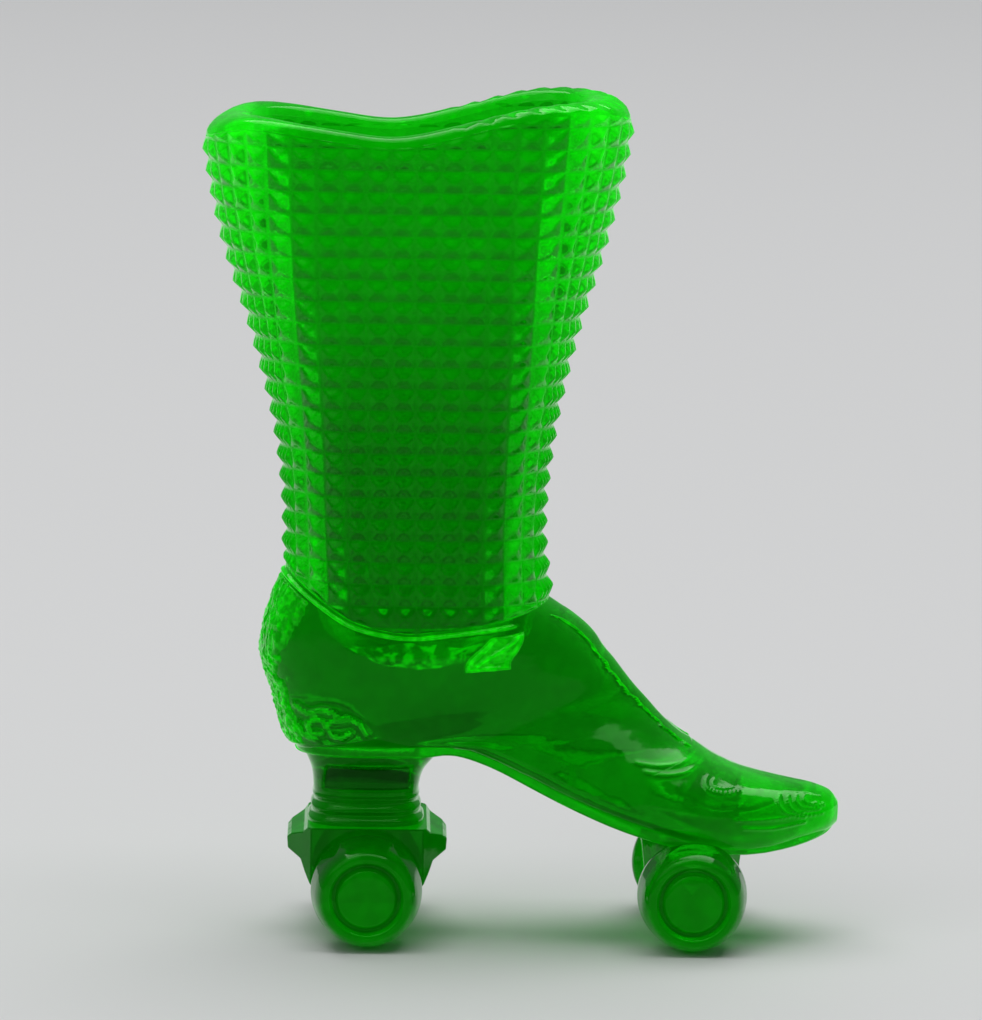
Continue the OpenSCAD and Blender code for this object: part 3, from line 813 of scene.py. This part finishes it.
def trim_patch(name, s_range, column_range, counts, shape, finish, lean=(0, 0),
               bright=None):
    """A raised patch; shape(s share, column share, place) gives its rise from 0 to 1.

    lean moves its lower end round by columns. Faces where bright is true get trim_glass, whose
    stronger glow is a painted highlight.
    """
    s0, s1 = s_range
    c0, c1 = column_range
    bm = bmesh.new()
    bmesh.ops.create_grid(bm, x_segments=counts[1], y_segments=counts[0], size=1)
    bm.verts.ensure_lookup_table()
    for number, corner in enumerate(bm.verts):
        v, u = divmod(number, counts[1] + 1)
        v, u = v / counts[0], u / counts[1]
        eased = 1 - (1 - v) ** 2
        s, column = mix(s0, s1, v), mix(c0 + lean[0] * eased, c1 + lean[1] * eased, u)
        base = shoe_corner(s, column)
        rise = (TRIM_RISE + TRIM_SUNK) * shape(v, u, base) - TRIM_SUNK
        corner.co = shoe_corner(s, column, rise)
    bm.faces.ensure_lookup_table()
    if bright:
        for number, face in enumerate(bm.faces):
            v, u = divmod(number, counts[1])
            if bright((v + 0.5) / counts[0], (u + 0.5) / counts[1]):
                face.material_index = SECOND
    middle_face = bm.faces[len(bm.faces) // 2]
    bm.normal_update()
    if middle_face.normal.dot(middle_face.calc_center_median() - SHOE_MIDDLE) < 0:
        bmesh.ops.reverse_faces(bm, faces=bm.faces)
    bmesh.ops.solidify(bm, geom=bm.faces[:], thickness=TRIM_THICK)
    bmesh.ops.recalc_face_normals(bm, faces=bm.faces)
    finish_piece(name, bm, finish, [name], second_finish=bright and trim_glass)


def border(value, width):
    """0 at either end of 0..1 and 1 further in than width."""
    return ramp(min(value, 1 - value), 0, width)


def bead_shape(v, u, base):
    return math.exp(-((v - 0.45) / 0.2) ** 2) * border(u, 0.02)


def tab_shape(v, u, base):
    frame_line = max(1 - ramp(1 - v, 0.1, 0.24), 1 - ramp(min(u, 1 - u), 0.1, 0.24))
    slash = math.exp(-((u - 0.85 + 0.75 * v) / 0.1) ** 2)
    grain = 0.16 * noise.noise(base * 2.2)
    return border(v, 0.08) * border(u, 0.08) * (0.6 + grain + 0.55 * max(frame_line, slash))


def strip_bead(v, u):
    """The wavy bead along each edge of the strip."""
    wave = 0.012 * math.sin(v * 70) + 0.01 * math.sin(v * 43 + 1)
    return math.exp(-((min(u, 1 - u) + wave - 0.07) / 0.028) ** 2)


def on_bead(v, u):
    return strip_bead(v, u) > 0.6


def strip_shape(v, u, base):
    """A low plateau between the two beads."""
    plateau = 0.52 * ramp(min(u, 1 - u), 0.02, 0.08)
    return max(plateau, strip_bead(v, u)) * border(v, 0.07)


def counter_shape(v, u, base):
    grain = noise.noise(base * 1.1) * 0.5 + noise.noise(base * 2.3) * 0.5
    wave = 0.05 * noise.noise(base * 0.6)
    waist = 0.05 * ramp(v, 0.05, 0.35)
    edge = ramp(min(u, 1 - u) + wave - waist, 0.03, 0.08)
    return border(v, 0.04) * edge * (0.7 + 0.6 * grain)


trim_patch("collar", (0.0, 0.42), (17.6, 48.4), (8, 248), bead_shape, trim_glass)
for tab, columns, lean in (("right_tab", (2.7, 4.2), (-1.8, -1.7)),
                           ("left_tab", (17.8, 19.3), (1.7, 1.8))):
    trim_patch(tab, (0.4, 1.55), columns, (36, 30), tab_shape, trim_glass,
               lean=lean)
trim_patch("instep_strip", (0.1, 7.0), (5.6, 16.4), (170, 64), strip_shape, shoe_glass,
           bright=on_bead)
trim_patch("heel_counter", (0.3, 2.95), (26, 40), (96, 140), counter_shape, grained_glass)

# %% [markdown]
# ## Sole
# The sole is a thin slab that follows the arch. A grid in plan is bent to the arch, given its
# thickness, and its edges are rounded with a bevel.

# %% Sole
LENGTHS, WIDTHS, SOLE_BACK, SOLE_FRONT = 120, 16, -27.4, 38.8
sole_outline = line_of([(SOLE_BACK, 0), (-27.0, 3.4), (-25.4, 6.4), (-21.5, 8.0), (-15, 8.1),
                        (-8, 7.5), (-1, 7.8), (6, 9.6), (13, 11.0), (19, 10.9), (25, 9.2),
                        (30, 7.0), (34.5, 5.0), (37.6, 2.8), (SOLE_FRONT, 0)], 3)
sole_mesh = bmesh.new()
bmesh.ops.create_grid(sole_mesh, x_segments=LENGTHS, y_segments=WIDTHS, size=1)
for corner in sole_mesh.verts:
    # cosine spacing puts more corners at the rounded ends
    x = mix(SOLE_BACK, SOLE_FRONT, 0.5 - 0.5 * math.cos(math.pi * (corner.co.x + 1) / 2))
    corner.co = Vector((x, corner.co.y * float(np.interp(x, *sole_outline)), under_height(x)))
bmesh.ops.remove_doubles(sole_mesh, verts=sole_mesh.verts, dist=0.001)
slab = bmesh.ops.extrude_face_region(sole_mesh, geom=sole_mesh.faces[:])
raised = [part for part in slab["geom"] if isinstance(part, bmesh.types.BMVert)]
bmesh.ops.translate(sole_mesh, vec=(0, 0, SOLE_THICK), verts=raised)
bmesh.ops.recalc_face_normals(sole_mesh, faces=sole_mesh.faces)
sharp = [e for e in sole_mesh.edges
         if len(e.link_faces) == 2 and e.calc_face_angle() > math.radians(60)]
bmesh.ops.bevel(sole_mesh, geom=sharp, offset=0.45, segments=3, profile=0.5,
                affect="EDGES", material=-1)
finish_piece("sole", sole_mesh, sole_glass, ["sole"])

# %% [markdown]
# ## Heel block
# A waisted block joins the heel to the skate. It is a tube of rounded squares that flares to
# the sole, with three low shelves near its foot where the mould was cut in steps.

# %% Heel block
heel_stations = [(13.4, -18.6, 7.3, 7.2), (16.2, -18.6, 6.5, 6.5), (18.4, -18.6, 6.5, 6.5),
                 (20.6, -18.4, 7.0, 6.9), (22.9, -17.9, 8.5, 7.7)]
HEEL_RINGS, HEEL_COLUMNS, HEEL_SQUARE = 60, 120, 3.2
WINDOW_DEPTH, WINDOW_X = 0.45, -18.5


def in_window(across, z):
    """1 inside the sunk window on each side of the block and 0 outside it."""
    return ramp(5.2 - abs(across), -0.25, 0.25) * ramp(z, 18.1, 18.6) * ramp(21.7 - z, 0, 0.5)


def heel_place(ring, column):
    z, x, half_x, half_y = through(heel_stations, 4 * ring / HEEL_RINGS)
    angle = 2 * math.pi * column / HEEL_COLUMNS
    c, s = math.cos(angle), math.sin(angle)
    shelf = 0.2 * math.sin((z - 14) * 4.2) * ramp(17.8 - z, 0, 0.8) * ramp(z, 14, 14.5)
    out_x = math.copysign(abs(c) ** (2 / HEEL_SQUARE), c) * (half_x + shelf)
    out_y = math.copysign(abs(s) ** (2 / HEEL_SQUARE), s) * (half_y + shelf)
    out_y -= math.copysign(WINDOW_DEPTH, out_y) * in_window(out_x, z)
    return Vector((x + out_x, out_y, z))


heel_mesh, _ = rolled_sheet(HEEL_RINGS + 1, HEEL_COLUMNS, heel_place)
close_ends(heel_mesh)
# Painted shade: the faces in the sunk windows get a darker glass with less glow.
for face in heel_mesh.faces:
    spot = face.calc_center_median()
    if abs(spot.y) > 4 and in_window(spot.x - WINDOW_X, spot.z) > 0.5:
        face.material_index = SECOND
finish_piece("heel_block", heel_mesh, skate_glass, ["heel_block"],
             second_finish=window_shade_glass)

# %% [markdown]
# ## Trucks
# A truck is a slab with a shaped side, cut off at its four corners. Its side is drawn as one
# face, pushed to both sides with the extrude operator, trimmed with bisecting planes and then
# bevelled. The glass axle between the wheels is inside it, so one piece stands for both.

# %% Trucks
TRUCK_WIDTH, CORNER_CUT, CORNER_SLANT = 16.4, 4.2, 0.7
REAR_AXLE, FRONT_AXLE = -18.4, 21.3
rear_half = [(7.2, 14.0), (7.8, 13.3), (9.2, 12.7), (9.8, 12.1), (9.7, 10.7), (8.1, 9.8),
             (7.6, 8.4), (7.0, 7.1), (5.2, 5.2)]
rear_outline = ([(REAR_AXLE + x, z) for x, z in rear_half]
                + [(REAR_AXLE - x, z) for x, z in reversed(rear_half)])
REAR_LENGTH_HALF, FRONT_HALF = 9.8, 6.3
front_tops = [FRONT_AXLE + FRONT_HALF * n / 4 for n in range(4, -5, -1)]
front_outline = ([(FRONT_AXLE - FRONT_HALF + 1.0, 5.0), (FRONT_AXLE + FRONT_HALF - 1.0, 5.0)]
                 + [(x, under_height(x) + 0.5) for x in front_tops])


def truck(name, outline, axle_x, half_length, nodes):
    """An extruded side outline with its corners cut off and its edges rounded."""
    bm = bmesh.new()
    corners = [bm.verts.new((x, -TRUCK_WIDTH / 2, z)) for x, z in outline]
    side = bm.faces.new(corners)
    pushed = bmesh.ops.extrude_face_region(bm, geom=[side])
    moved = [part for part in pushed["geom"] if isinstance(part, bmesh.types.BMVert)]
    bmesh.ops.translate(bm, vec=(0, TRUCK_WIDTH, 0), verts=moved)
    for x_side in (-1, 1):
        for y_side in (-1, 1):
            corner = (axle_x + x_side * half_length, y_side * (TRUCK_WIDTH / 2 - CORNER_CUT), 0)
            cut = bmesh.ops.bisect_plane(
                bm, geom=bm.verts[:] + bm.edges[:] + bm.faces[:], clear_outer=True,
                plane_co=corner, plane_no=(x_side, y_side * CORNER_SLANT, 0))
            rim = [part for part in cut["geom_cut"] if isinstance(part, bmesh.types.BMEdge)]
            bmesh.ops.holes_fill(bm, edges=rim)
    bmesh.ops.recalc_face_normals(bm, faces=bm.faces)
    edges = [e for e in bm.edges
             if len(e.link_faces) == 2 and e.calc_face_angle() > math.radians(12)]
    bmesh.ops.bevel(bm, geom=edges, offset=0.3, segments=2, profile=0.5, affect="EDGES",
                    material=-1, clamp_overlap=True)
    bmesh.ops.triangulate(bm, faces=[f for f in bm.faces if len(f.verts) > 4])
    finish_piece(name, bm, skate_glass, nodes, smooth=False)


truck("rear_truck", rear_outline, REAR_AXLE, REAR_LENGTH_HALF,
      ["rear_truck", "rear_axle_housing"])
truck("front_truck", front_outline, FRONT_AXLE, FRONT_HALF,
      ["front_truck", "front_axle_housing"])

# %% [markdown]
# ## Wheels
# The wheels are turned shapes: a barrel that tapers to its face, a rim, a sunk ring and a
# slightly domed hub. The profile is a short wire, and the spin operator turns it round the
# axle. A tiny flat at the bottom is where the wheel rests.

# %% Wheels
FACE, GROOVE_OUT, GROOVE_IN, GROOVE_DEPTH = 5.5, 4.5, 3.5, 0.8
SKATE_WIDTH = 31
WHEEL_WIDTH = (SKATE_WIDTH - TRUCK_WIDTH) / 2
SPIN_STEPS = 96


def wheel(name, axle_x, diameter, side):
    """One wheel on its axle; side is 1 for the boot's left and -1 for its right."""
    r, w, d = diameter / 2 + 0.05, WHEEL_WIDTH, GROOVE_DEPTH
    profile = [(0, -0.4), (r - 1.2, -0.4), (r - 0.9, 0), (r - 0.35, 0.3), (r - 0.1, 0.65),
               (r, 1.2), (r, 1.8), (r - 0.06, 2.5), (r - 0.28, 3.3), (FACE + 0.85, w - 2.4),
               (FACE + 0.5, w - 1.2), (FACE + 0.2, w - 0.55), (FACE - 0.05, w - 0.2),
               (FACE - 0.35, w - 0.02), (FACE - 0.6, w), (GROOVE_OUT + 0.12, w - 0.03),
               (GROOVE_OUT - 0.02, w - 0.15), (GROOVE_OUT - 0.2, w - d + 0.15),
               (GROOVE_OUT - 0.35, w - d), (GROOVE_IN + 0.3, w - d),
               (GROOVE_IN + 0.15, w - d + 0.12), (GROOVE_IN + 0.02, w - 0.3),
               (GROOVE_IN - 0.12, w - 0.17), (GROOVE_IN - 0.5, w - 0.1), (1.6, w - 0.02), (0, w)]
    bm = bmesh.new()
    wire = [bm.verts.new((radius, out, 0)) for radius, out in profile]
    for a, b in zip(wire, wire[1:]):
        bm.edges.new((a, b))
    bmesh.ops.spin(bm, geom=bm.verts[:] + bm.edges[:], axis=(0, 1, 0), cent=(0, 0, 0),
                   steps=SPIN_STEPS, angle=2 * math.pi, use_merge=True)
    bmesh.ops.remove_doubles(bm, verts=bm.verts, dist=0.0005)
    if side < 0:
        bmesh.ops.scale(bm, vec=(1, -1, 1), verts=bm.verts)
    bmesh.ops.translate(bm, vec=(axle_x, side * TRUCK_WIDTH / 2, diameter / 2), verts=bm.verts)
    for corner in bm.verts:
        corner.co.z = max(corner.co.z, 0.0)
    bmesh.ops.recalc_face_normals(bm, faces=bm.faces)
    # Painted shade: the floor of the sunk ring gets the skate finish, with less glow than the
    # wheel's.
    for face in bm.faces:  # the floor of the sunk ring is darker
        spot = face.calc_center_median()
        radius = math.hypot(spot.x - axle_x, spot.z - diameter / 2)
        if GROOVE_IN < radius < GROOVE_OUT and abs(spot.y) > TRUCK_WIDTH / 2 + 1:
            face.material_index = SECOND
    finish_piece(name, bm, wheel_glass, [name], second_finish=skate_glass)


for end, axle_x, diameter in (("rear", REAR_AXLE, 13.5), ("front", FRONT_AXLE, 13.3)):
    for hand, side in (("left", 1), ("right", -1)):
        wheel(f"{end}_{hand}_wheel", axle_x, diameter, side)

# %% [markdown]
# ## Hide what is inside
# Every face that lies wholly inside another region is part of a joint. For each corner of a
# face the nearest point of the other regions is found. If that surface looks away from the
# corner, the corner may be inside it. Two rays then settle it: a ray that starts inside a
# closed region crosses its surface an odd number of times. Faces with every corner inside get
# the joint material.

# %% Find the joint faces
def closed_tree(piece):
    """A search tree of a piece's rest mesh, and the box round it."""
    bm = bmesh.new()
    bm.from_mesh(piece.data)
    tree = BVHTree.FromBMesh(bm)
    low, high = box_of([v.co for v in bm.verts])
    bm.free()
    return tree, low, high


search = {name: closed_tree(piece) for name, piece in built.items()}
SKIN_GAP = 0.03 * MM
RAY_STEP = 0.001 * MM
RAYS = Vector((0.31, 0.87, 0.38)).normalized(), Vector((-0.42, -0.55, 0.72)).normalized()


def crossings(place, ray, tree):
    """How often a ray from a place passes through a surface."""
    count = 0
    hit = tree.ray_cast(place, ray)[0]
    while hit is not None:
        count += 1
        hit = tree.ray_cast(hit + ray * RAY_STEP, ray)[0]
    return count


def is_inside(place, tree):
    """True where the nearest surface looks away and both rays leave a closed region."""
    spot, normal, _, _ = tree.find_nearest(place)
    if (spot - place).dot(normal) <= 0:
        return False
    return all(crossings(place, ray, tree) % 2 for ray in RAYS)


def hide_joints(name, piece):
    """Gives the joint material to the faces inside any other piece."""
    mesh = piece.data
    buried = np.zeros((len(mesh.vertices), len(search)), bool)
    for other_number, (other, (tree, low, high)) in enumerate(search.items()):
        if other == name:
            continue
        for vertex in mesh.vertices:
            place = vertex.co + vertex.normal * SKIN_GAP
            if all(a < p < b for a, p, b in zip(low, place, high)):
                buried[vertex.index, other_number] = is_inside(place, tree)
    count = 0
    for polygon in mesh.polygons:
        if buried[list(polygon.vertices)].all(axis=0).any():
            polygon.material_index = JOINT
            count += 1
    return count


print("joint faces:", {name: hide_joints(name, piece) for name, piece in built.items()})
